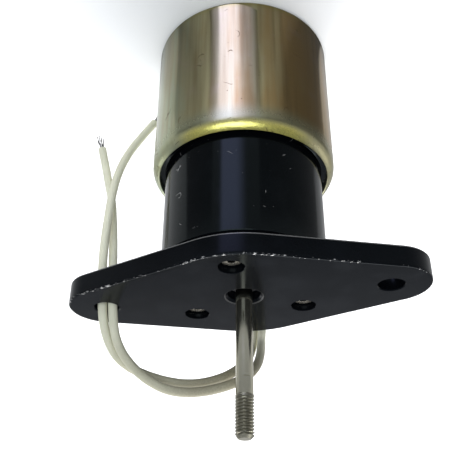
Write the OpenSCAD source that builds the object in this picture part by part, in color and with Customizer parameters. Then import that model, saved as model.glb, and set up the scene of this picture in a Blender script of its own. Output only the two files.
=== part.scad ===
// Tubular solenoid actuator: a plated steel can crimped on a black anodised body,
// a two-hole diamond flange, and a sprung plunger with a threaded push-pull shaft.
// Millimetres. The origin is the centre of the can's closed end, +Z runs to the shaft's tip.

/* [Can] */
// Outside diameter of the can
can_d = 66.2; // [64:0.1:76]
// Length of the can over its crimped rim
can_len = 58.4; // [54:0.1:75]
// Thickness of the can's wall and rim
can_wall = 1.8; // [1.2:0.1:2.2]
// Thickness of the can's closed end
can_end_t = 2; // [1.2:0.1:4]
// Outer radius of the bend where the rim is rolled over the body
can_rim_r = 5; // [4:0.1:7]
// How far the rim reaches in over the body
can_rim_lap = 2.6; // [2.4:0.1:3.2]
// Outer radius round the closed end
can_end_r = 1.5; // [0.5:0.1:2.5]

/* [Body] */
// Width of the groove between the can's rim and the visible neck
neck_groove = 2.25; // [1:0.05:4]
// Length of neck between the can's rim and the flange
neck_len = 38.4; // [34:0.1:60]
// Depth of the body inside the can, from the edge of the rim
body_depth = 9.4; // [7:0.1:14]
// Chamfer round the neck where it meets the flange
neck_chamfer = 2; // [0.5:0.1:3]
// Diameter of the inner chamber
chamber_d = 42; // [40:0.1:46]

/* [Flange] */
// Thickness of the flange
flange_t = 7.5; // [6:0.1:12]
// Distance between the two mounting holes
hole_spacing = 96; // [90:0.5:120]
// Diameter of a mounting hole
mount_hole_d = 8.6; // [8.6:0.1:11]
// Radius of the flange's ends
flange_end_r = 13; // [11:0.1:18]
// Radius of the flange's middle
flange_mid_r = 30; // [28.5:0.1:34]
// Break along the flange's edges
flange_break = 0.4; // [0.2:0.1:1]
// Diameter of the hole round the shaft
shaft_hole_d = 11; // [10.5:0.1:13]
// Chamfer at the mouth of that hole
shaft_hole_chamfer = 1; // [0.3:0.1:2]

/* [Flange screws] */
// Diameter of the circle that the screws lie on
screw_circle_d = 43; // [40:0.1:45]
// Thread diameter of a screw
screw_d = 4; // [3:0.5:5]
// Length of a screw under its head
screw_len = 14; // [8:0.5:18]
// Diameter of a screw's head
screw_head_d = 7; // [6.5:0.1:8]
// Height of a screw's head
screw_head_h = 2.8; // [2:0.1:3.2]
// Depth of a head's top below the flange's face
screw_sink = 2.2; // [0.5:0.1:2.6]
// Key size of a head's hexagon socket
socket_af = 2.5; // [1.5:0.1:3]
// Depth of the socket
socket_depth = 1.6; // [1:0.1:1.8]

/* [Shaft] */
// Diameter of the plain shaft
shaft_d = 5.6; // [4.5:0.1:5.8]
// Major diameter of the thread at its tip
thread_d = 6; // [5.8:0.1:6.5]
// Length of the thread
thread_len = 13.4; // [8:0.1:20]
// Reach of the shaft past the flange when the plunger is out
shaft_reach = 46.6; // [38:0.1:70]
// Chamfer at the tip
tip_chamfer = 1; // [0.3:0.1:1.5]
// Size across the two spanner flats
flat_af = 5; // [4:0.1:5.4]
// Length of the flats
flat_len = 4; // [3:0.1:6]
// Distance from the flats to the thread
flat_gap = 1.5; // [1:0.1:4]
// Turn of the flats from the flange's short axis, in degrees
flat_turn = 25; // [0:1:90]

/* [Magnet] */
// Travel of the plunger
stroke = 12; // [6:0.5:13]
// Diameter of the plunger
plunger_d = 25.8; // [22:0.1:26]
// Length of the plunger
plunger_len = 34; // [28:0.1:36]
// Depth of the shaft's seat in the plunger
shaft_seat = 18; // [12:0.1:19]
// Width of the vent groove along the plunger
vent_w = 2.5; // [1:0.1:4]
// Depth of the vent groove
vent_depth = 1.2; // [0.5:0.1:2]
// Diameter of the cross pin
pin_d = 2.5; // [2:0.1:3]
// Thickness of the rear pole's disc
rear_pole_t = 6; // [4:0.1:8]
// Depth of the core's face below the front pole
core_setback = 22; // [18:0.1:24]
// Thickness of the front pole ring
front_pole_t = 5; // [3:0.1:8]
// Thickness of the residual shim on the core
shim_t = 0.8; // [0.3:0.1:1.5]
// Wall of the guide tube
guide_wall = 0.7; // [0.4:0.1:1]
// Wall of the bobbin's barrel
bobbin_wall = 1.4; // [1:0.1:1.5]
// Thickness of the bobbin's end cheeks
cheek_t = 1.6; // [1:0.1:3]
// Height of the cheeks above the winding
cheek_rim = 2; // [1:0.1:4]
// Thickness of the tape round the winding
tape_t = 0.5; // [0.2:0.1:0.8]
// Thickness of the front stop bumper
bumper_t = 3; // [2:0.1:5]

/* [Return spring] */
// Outside diameter of the spring
spring_d = 9; // [7:0.1:10]
// Diameter of its wire
spring_wire = 1; // [0.6:0.1:1.2]
// Number of turns
spring_turns = 10; // [6:1:12]
// Depth of the spring's pocket in the core
core_pocket = 10; // [6:0.1:13]
// Depth of the spring's pocket in the plunger
plunger_pocket = 8; // [4:0.1:12]

/* [Bearing and seal] */
// Length of the shaft's bush
bush_len = 14; // [8:0.1:16]
// Wall of the bush
bush_wall = 2.2; // [1.5:0.1:2.4]
// Thickness of the shaft seal
seal_t = 3.5; // [2:0.1:4]

/* [Leads] */
// Diameter over a lead's insulation
lead_d = 3.2; // [2:0.1:3.4]
// Spacing of the two leads in the grommet
lead_pitch = 3.8; // [3.6:0.1:4.4]
// Diameter of the lead hole in the body
lead_hole_d = 9; // [8.6:0.1:9.4]
// Diameter of the grommet's collar
collar_d = 12; // [11:0.1:13]
// Thickness of the grommet's collar
collar_t = 2; // [1:0.1:2.5]
// Length of the grommet's tapered nose
grommet_nose = 2; // [1:0.1:3]
// Diameter of a crimped splice
splice_d = 4.4; // [3.6:0.1:4.6]
// Length of a crimped splice
splice_len = 8; // [6:0.1:9]
// Diameter of the twisted strands at a bare end
strand_d = 1.6; // [1:0.1:2]
// Length of the bare strands
strand_len = 6; // [3:0.5:10]

/* [Clearances] */
// Radial gap of the plunger in its guide tube
slide_gap = 0.1; // [0.05:0.01:0.3]
// Radial gap of the shaft in its bush
running_gap = 0.03; // [0.02:0.01:0.08]
// Radial gap of pieces that are assembled once
seat_gap = 0.05; // [0.02:0.01:0.15]
// Radial gap of the body and poles in the can
can_gap = 0.1; // [0.05:0.01:0.2]
// Radial gap of the bobbin's cheeks in the can
cheek_gap = 1.8; // [0.5:0.1:3]
// Gap of the plunger at its two stops
stop_gap = 0.2; // [0.1:0.05:0.5]
// Radial gap round screws, heads and wires
free_gap = 0.7; // [0.3:0.05:0.8]

/* [Hidden] */
$fn = 96;
// Steps round the circles of the flange's outline
outline_fn = 40;
eps = 0.01;

// Heights, from the can's closed end to the shaft's tip
body_z = can_len - body_depth;
front_pole_z = body_z - front_pole_t;
bobbin_z = can_end_t + rear_pole_t;
core_z = front_pole_z - core_setback;
shim_z = core_z + shim_t;
plunger_z = shim_z + stop_gap + stroke;
plunger_top = plunger_z + plunger_len;
bumper_z = plunger_top + stop_gap;
nose_z = bumper_z + bumper_t;
flange_z = can_len + neck_len;
face_z = flange_z + flange_t;
tip_z = face_z + shaft_reach;
thread_z = tip_z - thread_len;
flat_z = thread_z - flat_gap - flat_len;
bush_z = flange_z - bush_len;
shaft_z = plunger_top - shaft_seat;
pin_z = plunger_top - shaft_seat / 3;

// Radii
can_r = can_d / 2;
can_bore_r = can_r - can_wall;
lip_r = can_r - can_rim_lap;
spigot_r = can_bore_r - can_gap;
neck_r = lip_r - neck_groove;
chamber_r = chamber_d / 2;
shaft_r = shaft_d / 2;
bush_bore_r = shaft_r + running_gap;
bush_r = bush_bore_r + bush_wall;
passage_r = shaft_r + free_gap;
plunger_r = plunger_d / 2;
guide_bore_r = plunger_r + slide_gap;
guide_r = guide_bore_r + guide_wall;
core_r = guide_bore_r - seat_gap;
barrel_bore_r = guide_r + seat_gap;
barrel_r = barrel_bore_r + bobbin_wall;
cheek_r = can_bore_r - cheek_gap;
coil_r = cheek_r - cheek_rim;
pocket_r = spring_d / 2 + free_gap;

// Rim of the can: axis and start of its bend, and the shoulder under its lip
bend_r = can_r - can_rim_r;
bend_z = can_len - sqrt(pow(can_rim_r, 2) - pow(lip_r - bend_r, 2));
shoulder_z = bend_z + sqrt(pow(can_rim_r - can_wall, 2) - pow(lip_r - bend_r, 2));

// Flange screws: seat of the heads and places round the shaft
head_seat_z = face_z - screw_sink - screw_head_h;
screw_end_z = head_seat_z - screw_len;
screw_angles = [-90, 30, 150];

// Lead exit at the back of the neck, in line with the top of the chamber
grommet_z = nose_z - collar_d / 2 + free_gap;
spot_y = sqrt(pow(neck_r, 2) - pow(collar_d / 2 + free_gap, 2)) - free_gap;
grommet_end_y = spot_y + collar_t + grommet_nose;
barb_r = (lead_hole_d + free_gap) / 2;
barb_y = sqrt(pow(chamber_r, 2) - pow(barb_r, 2));
barb_t = 2;
splice_y = (plunger_r + chamber_r) / 2;
splice_x = splice_d / 2 + free_gap / 2;
splice_z = body_z + free_gap * 2;
coil_end_r = 0.6;
slot_r = coil_end_r + free_gap;

// Routes of the two leads, from the grommet over the flange's edge, through a mounting
// hole and down beside the can
lead_sides = 8;
lead_section_ref = [0.5, 0.85, 0];
lead_a_route = [
    [-lead_pitch / 2, grommet_end_y, grommet_z], [-1.9, 34.5, 67], [-1.9, 37.5, 69], [-1.8, 39.6, 73],
    [-1.5, 40.2, 80], [-1, 40, 88], [-0.4, 39.2, 95], [-0.1, 37.4, 100.4], [-0.4, 33.6, 105.4],
    [-1, 28.4, 111.2], [-1.3, 23, 117], [-0.9, 18.2, 121.8], [0.4, 14.4, 125.5], [2.8, 11.7, 128.3],
    [6.2, 10.2, 130.4], [10.6, 9.5, 131.8], [15.6, 9, 132.7], [21.3, 8.5, 132.8], [27, 7.9, 131.8],
    [32.2, 7, 129.4], [36.8, 6, 126.1], [40.4, 4.9, 122.4], [43, 3.8, 118.6], [44.7, 2.7, 114.4],
    [45.6, 1.7, 110], [46.1, 0.8, 105], [46.5, 0.2, 100], [47.2, 0.6, 95], [48.3, 2, 85.5],
    [49.5, 3, 75.5], [50.7, 3.5, 66.5], [52.1, 3.4, 57], [53.5, 3, 51], [55, 2.5, 44.5],
    [56.4, 2, 38.5], [57.6, 1.5, 33.5]];
lead_b_route = [
    [lead_pitch / 2, grommet_end_y, grommet_z], [1.9, 34.5, 67], [2, 37.5, 69], [2.2, 39.6, 73],
    [2.6, 40.6, 80], [3, 40.8, 88], [3.2, 40.4, 95], [3.2, 38.8, 100], [3, 35.4, 104.8],
    [2.6, 30.6, 110], [2.6, 25.6, 114.8], [3.4, 21.3, 119], [5.2, 18, 122.4], [8, 16, 125],
    [11.8, 14.7, 126.9], [16.9, 13.8, 128.2], [22.6, 13.1, 128.4], [28.5, 12.4, 127.5],
    [34, 11.5, 125.9], [38.6, 10.4, 124.1], [42.4, 9, 122], [45.4, 7.2, 119.4], [47.5, 5.2, 116],
    [48.8, 3.2, 112], [49.5, 1.6, 108], [49.8, 0.4, 104], [50, -0.2, 100], [50.4, -0.6, 95],
    [50.9, -1.1, 86.5], [50.8, -1.6, 78], [50.4, -1.9, 69.5], [50, -1.8, 61], [49.6, -1.1, 54],
    [48.8, 0, 47], [47.5, 1.4, 40.5], [45.6, 3, 34.2], [43.2, 4.5, 28.5], [40.7, 5.9, 23.2],
    [38.3, 7.1, 18.5]];
// Inner ends of the leads: in along the grommet's axis, then round a bend down to the splices
tail_bend = barb_y - splice_y;
tail_points = [
    [grommet_end_y, grommet_z],
    for (turn = [0 : 30 : 90])
        [splice_y + tail_bend * (1 - sin(turn)), grommet_z - tail_bend * (1 - cos(turn))],
    [splice_y, splice_z + splice_len]];

// Sweeps: a ring of points round each point of a route, joined into one closed tube
function unit(v) = v / norm(v);
function heading(route, i) =
    i == 0 ? unit(route[1] - route[0]) :
    i == len(route) - 1 ? unit(route[i] - route[i - 1]) :
    unit(unit(route[i + 1] - route[i]) + unit(route[i] - route[i - 1]));
function ring(centre, along, r, sides, ref) =
    let (u = unit(cross(along, ref)), v = cross(along, u))
    [for (k = [0 : sides - 1]) centre + r * (cos(360 * k / sides) * u + sin(360 * k / sides) * v)];
function route_rings(route, r, sides, ref) =
    [for (i = [0 : len(route) - 1]) ring(route[i], heading(route, i), r, sides, ref)];

module swept_tube(rings) {
    sides = len(rings[0]);
    last = len(rings) - 1;
    points = [for (one = rings) each one];
    walls = [for (i = [0 : last - 1], k = [0 : sides - 1])
        let (a = i * sides + k, b = i * sides + (k + 1) % sides)
        each [[a, a + sides, b], [b, a + sides, b + sides]]];
    caps = [[for (k = [0 : sides - 1]) k],
            [for (k = [sides - 1 : -1 : 0]) last * sides + k]];
    polyhedron(points, concat(walls, caps));
}

// A cylinder between two heights on the Z axis
module rod(r, z0, z1) {
    translate([0, 0, z0]) cylinder(r = r, h = z1 - z0);
}

// A plain ring between two heights on the Z axis
module collar(r, bore, z0, z1) {
    difference() {
        rod(r, z0, z1);
        rod(bore, z0 - eps, z1 + eps);
    }
}

// The children at the places of the flange screws
module at_screws() {
    for (angle = screw_angles) rotate(angle) translate([screw_circle_d / 2, 0, 0]) children();
}

// Slot that lets the two ends of the winding through a plate
module wire_slot(z0, z1) {
    for (side = [-1, 1]) translate([side * splice_x, splice_y, 0]) rod(slot_r, z0, z1);
    translate([-splice_x, splice_y - slot_r, z0]) cube([2 * splice_x, 2 * slot_r, z1 - z0]);
}

// Drawn steel can with a rounded end and a rim rolled in over the body's shoulder
module case_can() {
    color("#a39a6a") rotate_extrude() difference() {
        union() {
            translate([0, can_end_r]) square([can_r, bend_z - can_end_r]);
            square([can_r - can_end_r, bend_z]);
            translate([can_r - can_end_r, can_end_r]) circle(can_end_r);
            translate([bend_r, bend_z]) circle(can_rim_r);
        }
        translate([0, can_end_t]) square([can_bore_r, bend_z - can_end_t]);
        translate([bend_r, bend_z]) circle(can_rim_r - can_wall);
        translate([0, can_end_t]) square([lip_r, can_len]);
    }
}

// Turned aluminium body: spigot in the can, visible neck, chamber, nose with the bush's seat
module neck_body() {
    color("#1c1f24") difference() {
        rotate_extrude() polygon([
            [chamber_r, body_z], [spigot_r, body_z],
            [spigot_r, bend_z], [lip_r - can_gap, shoulder_z],
            [neck_r, shoulder_z], [neck_r, flange_z - neck_chamfer],
            [neck_r - neck_chamfer, flange_z], [bush_r + seat_gap, flange_z],
            [bush_r + seat_gap, bush_z], [passage_r, bush_z],
            [passage_r, nose_z], [chamber_r, nose_z]]);
        at_screws() rod(screw_d / 2 + seat_gap, screw_end_z - screw_d / 2, flange_z + eps);
        translate([0, 0, grommet_z]) rotate([-90, 0, 0]) {
            rod(lead_hole_d / 2 + seat_gap, 0, neck_r);
            rod(barb_r + seat_gap, 0, barb_y + barb_t + seat_gap);
            rod(collar_d / 2 + free_gap, spot_y, neck_r);
        }
    }
}

// A disc with its two edges broken
module broken_disc(r, z0, z1, cut) {
    rotate_extrude() polygon([
        [0, z0], [r - cut, z0], [r, z0 + cut], [r, z1 - cut], [r - cut, z1], [0, z1]]);
}

// Diamond flange with two mounting holes, the shaft's hole and counterbored screw holes
module mounting_flange() {
    color("#17191d") difference() {
        hull() {
            broken_disc(flange_mid_r, flange_z, face_z, flange_break, $fn = outline_fn);
            for (side = [-1, 1]) translate([side * hole_spacing / 2, 0, 0])
                broken_disc(flange_end_r, flange_z, face_z, flange_break, $fn = outline_fn);
        }
        for (side = [-1, 1]) translate([side * hole_spacing / 2, 0, 0])
            rod(mount_hole_d / 2, flange_z - eps, face_z + eps);
        rod(shaft_hole_d / 2, flange_z - eps, face_z + eps);
        translate([0, 0, face_z - shaft_hole_chamfer]) cylinder(
            r1 = shaft_hole_d / 2, r2 = shaft_hole_d / 2 + shaft_hole_chamfer + eps,
            h = shaft_hole_chamfer + eps);
        at_screws() {
            rod(screw_d / 2 + seat_gap, flange_z - eps, face_z);
            rod(screw_head_d / 2 + free_gap, head_seat_z, face_z + eps);
        }
    }
}

// Low-head socket screws that hold the flange on the body
module flange_screws() {
    color("#b9bcc0") at_screws() difference() {
        union() {
            rod(screw_d / 2, screw_end_z, head_seat_z);
            rod(screw_head_d / 2, head_seat_z, head_seat_z + screw_head_h);
        }
        translate([0, 0, head_seat_z + screw_head_h - socket_depth])
            cylinder(d = socket_af / cos(30), h = socket_depth + eps, $fn = 6);
    }
}

// Rear pole: a disc on the can's end with the fixed core and the spring's pocket
module rear_pole() {
    color("#8c8f94") difference() {
        union() {
            rod(spigot_r, can_end_t, bobbin_z);
            rod(core_r, can_end_t, core_z);
        }
        rod(pocket_r, core_z - core_pocket, core_z + eps);
    }
}

// Front pole: a ring between the bobbin and the body that closes the magnetic circuit
module front_pole() {
    color("#83878c") difference() {
        collar(spigot_r, guide_r + seat_gap, front_pole_z, body_z);
        wire_slot(front_pole_z - eps, body_z + eps);
    }
}

// Brass tube that the plunger slides in
module guide_tube() {
    color("#c2a14d") collar(guide_r, guide_bore_r, bobbin_z, body_z);
}

// Moulded bobbin with two cheeks
module bobbin() {
    color("#d9d4c3") difference() {
        union() {
            collar(barrel_r, barrel_bore_r, bobbin_z, front_pole_z);
            collar(cheek_r, barrel_bore_r, bobbin_z, bobbin_z + cheek_t);
            collar(cheek_r, barrel_bore_r, front_pole_z - cheek_t, front_pole_z);
        }
        wire_slot(front_pole_z - cheek_t - eps, front_pole_z + eps);
    }
}

// Copper winding between the cheeks
module coil() {
    color("#a8602f") collar(coil_r, barrel_r, bobbin_z + cheek_t, front_pole_z - cheek_t);
}

// Tape round the winding
module coil_tape() {
    color("#c9b23c")
        collar(coil_r + tape_t, coil_r, bobbin_z + cheek_t, front_pole_z - cheek_t);
}

// Thin washer on the core that keeps the plunger from sticking
module residual_shim() {
    color("#c8a850") collar(core_r - seat_gap, pocket_r, core_z, shim_z);
}

// Compression spring with closed end turns, from the core's pocket to the plunger's
spring_z0 = core_z - core_pocket + spring_wire / 2;
spring_z1 = plunger_z + plunger_pocket - spring_wire / 2;
spring_steps = 14;
// Rise of a closed end turn, in wire diameters
closed_rise = 1.05;
function spring_rise(t) =
    let (turns = t * spring_turns, closed = spring_wire * closed_rise,
         open = (spring_z1 - spring_z0 - 2 * closed) / (spring_turns - 2))
    turns < 1 ? turns * closed :
    turns > spring_turns - 1 ? spring_z1 - spring_z0 - (spring_turns - turns) * closed :
    closed + (turns - 1) * open;

module return_spring() {
    wire_sides = 6;
    rings = [for (i = [0 : spring_turns * spring_steps])
        let (t = i / (spring_turns * spring_steps), angle = 360 * t * spring_turns,
             out = [cos(angle), sin(angle), 0],
             centre = (spring_d - spring_wire) / 2 * out + [0, 0, spring_z0 + spring_rise(t)])
        [for (k = [0 : wire_sides - 1]) let (b = -360 * k / wire_sides)
            centre + spring_wire / 2 * (cos(b) * out + [0, 0, sin(b)])]];
    color("#9a9da2") swept_tube(rings);
}

// Sliding iron plunger with the spring's pocket, the shaft's seat, a vent groove and a pin hole
module plunger() {
    edge = 0.5;
    color("#a4a7ab") difference() {
        broken_disc(plunger_r, plunger_z, plunger_top, edge);
        rod(pocket_r, plunger_z - eps, plunger_z + plunger_pocket);
        rod(shaft_r + seat_gap, shaft_z, plunger_top + eps);
        translate([-vent_w / 2, plunger_r - vent_depth, plunger_z - eps])
            cube([vent_w, 2 * vent_depth, plunger_len + 2 * eps]);
        translate([0, 0, pin_z]) rotate([0, 90, 0])
            rod(pin_d / 2 + seat_gap, -plunger_r, plunger_r);
    }
}

// Cross pin that locks the shaft in the plunger
module plunger_pin() {
    margin = 1;
    color("#6f7378") translate([0, 0, pin_z]) rotate([0, 90, 0])
        rod(pin_d / 2, margin - plunger_r, plunger_r - margin);
}

// Polished shaft with two spanner flats and a threaded end, the thread as a plain cylinder
module shaft() {
    lead_in = thread_d / 2 - shaft_r;
    color("#c9ccd0") difference() {
        union() {
            rod(shaft_r, shaft_z, thread_z);
            translate([0, 0, thread_z]) cylinder(r1 = shaft_r, r2 = thread_d / 2, h = lead_in);
            rod(thread_d / 2, thread_z + lead_in, tip_z - tip_chamfer);
            translate([0, 0, tip_z - tip_chamfer])
                cylinder(r1 = thread_d / 2, r2 = thread_d / 2 - tip_chamfer, h = tip_chamfer);
        }
        for (half = [0, 180]) rotate(half - flat_turn)
            translate([-thread_d, flat_af / 2, flat_z]) cube([2 * thread_d, thread_d, flat_len]);
        translate([0, 0, pin_z]) rotate([0, 90, 0])
            rod(pin_d / 2 + seat_gap, -shaft_d, shaft_d);
    }
}

// Rubber ring that the plunger comes to rest against
module stop_bumper() {
    color("#2a2a2a") collar(plunger_r - free_gap, passage_r + free_gap, bumper_z, nose_z);
}

// Sintered bush that carries the shaft in the body's nose
module front_bush() {
    color("#a67c3d") collar(bush_r, bush_bore_r, bush_z, flange_z);
}

// Rubber seal round the shaft, in the flange's hole
module shaft_seal() {
    color("#151515") collar(shaft_hole_d / 2 - seat_gap, bush_bore_r, flange_z, flange_z + seal_t);
}

// Rubber grommet with a hole for each lead, between a flat at the back of the neck and a
// recess in the wall of the chamber
module lead_grommet() {
    hole_r = lead_d / 2 + seat_gap;
    stem_r = lead_hole_d / 2;
    nose_r = stem_r - seat_gap;
    tip_r = (lead_pitch + lead_d) / 2 + free_gap;
    color("#202020") translate([0, 0, grommet_z]) rotate([-90, 0, 0]) difference() {
        union() {
            rod(barb_r, barb_y, barb_y + barb_t);
            rod(stem_r, barb_y, spot_y + eps);
            rod(collar_d / 2, spot_y, spot_y + collar_t);
            translate([0, 0, spot_y + collar_t])
                cylinder(r1 = max(nose_r, tip_r), r2 = tip_r, h = grommet_nose);
        }
        for (side = [-1, 1]) translate([side * lead_pitch / 2, 0, 0])
            rod(hole_r, barb_y - eps, grommet_end_y + eps);
    }
}

// Lead ends inside the body, from the grommet's mouth to the splices
module lead_tails() {
    slide = splice_x - lead_pitch / 2;
    last = len(tail_points) - 1;
    color("#c9c6b2") for (side = [-1, 1]) {
        route = [for (i = [0 : last]) [
            side * (lead_pitch / 2 + slide * max(0, i - 1) / (last - 1)),
            tail_points[i][0], tail_points[i][1]]];
        swept_tube(route_rings(route, lead_d / 2, lead_sides, [1, 0, 0]));
    }
}

// Crimped splices between the leads and the ends of the winding
module lead_splices() {
    color("#7d3030") for (side = [-1, 1]) translate([side * splice_x, splice_y, 0])
        rod(splice_d / 2, splice_z, splice_z + splice_len);
}

// The two ends of the winding, up to the splices
module coil_ends() {
    color("#a8602f") for (side = [-1, 1]) translate([side * splice_x, splice_y, 0])
        rod(coil_end_r, front_pole_z - cheek_t, splice_z);
}

// A lead's insulation along its route
module lead(route) {
    color("#c9c6b2") swept_tube(route_rings(route, lead_d / 2, lead_sides, lead_section_ref));
}

// Bare strands that go on from the end of a lead
module strands(route) {
    last = len(route) - 1;
    along = heading(route, last);
    stub = [route[last], route[last] + strand_len * along];
    color("#b5b1a8") swept_tube(route_rings(stub, strand_d / 2, lead_sides, lead_section_ref));
}

module lead_a() { lead(lead_a_route); }
module lead_b() { lead(lead_b_route); }
module lead_a_strands() { strands(lead_a_route); }
module lead_b_strands() { strands(lead_b_route); }

case_can();
neck_body();
mounting_flange();
flange_screws();
rear_pole();
front_pole();
guide_tube();
bobbin();
coil();
coil_tape();
residual_shim();
return_spring();
plunger();
plunger_pin();
shaft();
stop_bumper();
front_bush();
shaft_seal();
lead_grommet();
lead_tails();
lead_splices();
coil_ends();
lead_a();
lead_b();
lead_a_strands();
lead_b_strands();
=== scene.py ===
"""Solenoid actuator: a plated can crimped on a black body, a diamond flange, a sprung shaft and leads."""
import math
import random

import bpy
from mathutils import Matrix, Vector


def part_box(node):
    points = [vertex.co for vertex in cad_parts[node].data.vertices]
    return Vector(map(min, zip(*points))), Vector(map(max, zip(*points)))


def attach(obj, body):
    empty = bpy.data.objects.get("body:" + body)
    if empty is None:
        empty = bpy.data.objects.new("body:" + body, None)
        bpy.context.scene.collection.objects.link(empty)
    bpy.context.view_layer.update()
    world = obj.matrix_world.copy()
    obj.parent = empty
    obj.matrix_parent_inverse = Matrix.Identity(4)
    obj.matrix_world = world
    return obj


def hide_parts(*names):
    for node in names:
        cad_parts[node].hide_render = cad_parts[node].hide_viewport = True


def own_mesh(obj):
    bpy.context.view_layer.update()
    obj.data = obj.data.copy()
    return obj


bl_info = {
    "name": "Solenoid Actuator",
    "version": (1, 0, 0),
    "blender": (4, 5, 0),
    "location": "View3D > Sidebar > Solenoid",
    "description": "Models and finishes a tubular solenoid actuator on its CAD frame",
    "category": "Object",
}

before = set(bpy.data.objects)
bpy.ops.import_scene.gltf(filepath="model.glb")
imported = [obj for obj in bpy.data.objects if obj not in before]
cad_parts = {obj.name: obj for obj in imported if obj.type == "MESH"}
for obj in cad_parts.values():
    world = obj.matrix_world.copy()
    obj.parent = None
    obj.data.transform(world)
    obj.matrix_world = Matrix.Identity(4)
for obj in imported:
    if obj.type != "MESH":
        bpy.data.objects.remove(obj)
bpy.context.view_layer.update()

MM = 0.001
# How much wider a hole's radius is than what sits in it
FIT_GAP = 0.05 * MM
# Points of a turned piece that lie closer than this become one
MERGE_GAP = 0.0005 * MM

CAN_LOW, CAN_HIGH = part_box("case_can")
BODY_LOW, BODY_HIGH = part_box("neck_body")
FLANGE_LOW, FLANGE_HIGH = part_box("mounting_flange")
SCREW_LOW, SCREW_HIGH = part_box("flange_screws")
SHAFT_LOW, SHAFT_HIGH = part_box("shaft")
SEAL_LOW, SEAL_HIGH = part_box("shaft_seal")
GROMMET_LOW, GROMMET_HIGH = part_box("lead_grommet")
SPRING_LOW, SPRING_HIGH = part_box("return_spring")
BUMPER_LOW, BUMPER_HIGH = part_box("stop_bumper")
BUSH_LOW, BUSH_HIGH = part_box("front_bush")

# Routes of the two leads, in millimetres as in the part's source, from the grommet to the bare ends
LEAD_A_ROUTE = [
    (-1.9, 30.744, 66.9), (-1.9, 34.5, 67), (-1.9, 37.5, 69), (-1.8, 39.6, 73), (-1.5, 40.2, 80),
    (-1, 40, 88), (-0.4, 39.2, 95), (-0.1, 37.4, 100.4), (-0.4, 33.6, 105.4), (-1, 28.4, 111.2),
    (-1.3, 23, 117), (-0.9, 18.2, 121.8), (0.4, 14.4, 125.5), (2.8, 11.7, 128.3), (6.2, 10.2, 130.4),
    (10.6, 9.5, 131.8), (15.6, 9, 132.7), (21.3, 8.5, 132.8), (27, 7.9, 131.8), (32.2, 7, 129.4),
    (36.8, 6, 126.1), (40.4, 4.9, 122.4), (43, 3.8, 118.6), (44.7, 2.7, 114.4), (45.6, 1.7, 110),
    (46.1, 0.8, 105), (46.5, 0.2, 100), (47.2, 0.6, 95), (48.3, 2, 85.5), (49.5, 3, 75.5),
    (50.7, 3.5, 66.5), (52.1, 3.4, 57), (53.5, 3, 51), (55, 2.5, 44.5), (56.4, 2, 38.5),
    (57.6, 1.5, 33.5)]
LEAD_B_ROUTE = [
    (1.9, 30.744, 66.9), (1.9, 34.5, 67), (2, 37.5, 69), (2.2, 39.6, 73), (2.6, 40.6, 80),
    (3, 40.8, 88), (3.2, 40.4, 95), (3.2, 38.8, 100), (3, 35.4, 104.8), (2.6, 30.6, 110),
    (2.6, 25.6, 114.8), (3.4, 21.3, 119), (5.2, 18, 122.4), (8, 16, 125), (11.8, 14.7, 126.9),
    (16.9, 13.8, 128.2), (22.6, 13.1, 128.4), (28.5, 12.4, 127.5), (34, 11.5, 125.9),
    (38.6, 10.4, 124.1), (42.4, 9, 122), (45.4, 7.2, 119.4), (47.5, 5.2, 116), (48.8, 3.2, 112),
    (49.5, 1.6, 108), (49.8, 0.4, 104), (50, -0.2, 100), (50.4, -0.6, 95), (50.9, -1.1, 86.5),
    (50.8, -1.6, 78), (50.4, -1.9, 69.5), (50, -1.8, 61), (49.6, -1.1, 54), (48.8, 0, 47),
    (47.5, 1.4, 40.5), (45.6, 3, 34.2), (43.2, 4.5, 28.5), (40.7, 5.9, 23.2), (38.3, 7.1, 18.5)]


def length(name, text, default):
    """A size in metres that shows in the sidebar."""
    return bpy.props.FloatProperty(
        name=name, description=text, default=default, min=0, precision=5, unit="LENGTH")


def colour(name, text, default):
    """A linear colour that shows in the sidebar."""
    return bpy.props.FloatVectorProperty(
        name=name, description=text, default=default, size=3, min=0, max=1, subtype="COLOR")


class SOLENOID_PG_can(bpy.types.PropertyGroup):
    """Sizes of the plated can"""

    radius: length("Radius", "Outside radius of the can", CAN_HIGH.x)
    height: length("Length", "Length of the can over its rim", CAN_HIGH.z)
    wall: length("Wall", "Thickness of the wall and of the rolled rim", 1.8 * MM)
    end_wall: length("End wall", "Thickness of the closed end", 2.0 * MM)
    rim_radius: length("Rim radius", "Outer radius of the bend of the rolled rim", 5.0 * MM)
    rim_lap: length("Rim lap", "How far the rim reaches in over the body", 2.6 * MM)
    end_radius: length("End radius", "Outer radius round the closed end", 1.5 * MM)
    inner_fillet: length("Inner fillet", "Fillet inside the closed end", 0.8 * MM)
    lip_break: length("Lip break", "Break of the sharp edge at the rim's lip", 0.2 * MM)


class SOLENOID_PG_body(bpy.types.PropertyGroup):
    """Sizes of the black body"""

    neck_radius: length("Neck radius", "Radius of the visible neck", 28.25 * MM)
    chamber_radius: length("Chamber radius", "Radius of the inner chamber", 21.0 * MM)
    chamfer: length("Chamfer", "Chamfer where the neck meets the flange", 2.0 * MM)
    rim_gap: length("Rim gap", "Gap between the shoulder and the can's lip", 0.1 * MM)
    passage_radius: length("Passage radius", "Radius of the shaft's passage", 3.5 * MM)
    edge: length("Edge", "Radius of the turned edges", 0.35 * MM)
    lead_hole: length("Lead hole", "Radius of the lead hole", 4.55 * MM)
    spot_radius: length("Spot face radius", "Radius of the flat round the grommet", 6.7 * MM)
    spot_depth: length("Spot face depth", "Distance of that flat from the axis", 26.744 * MM)


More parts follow.
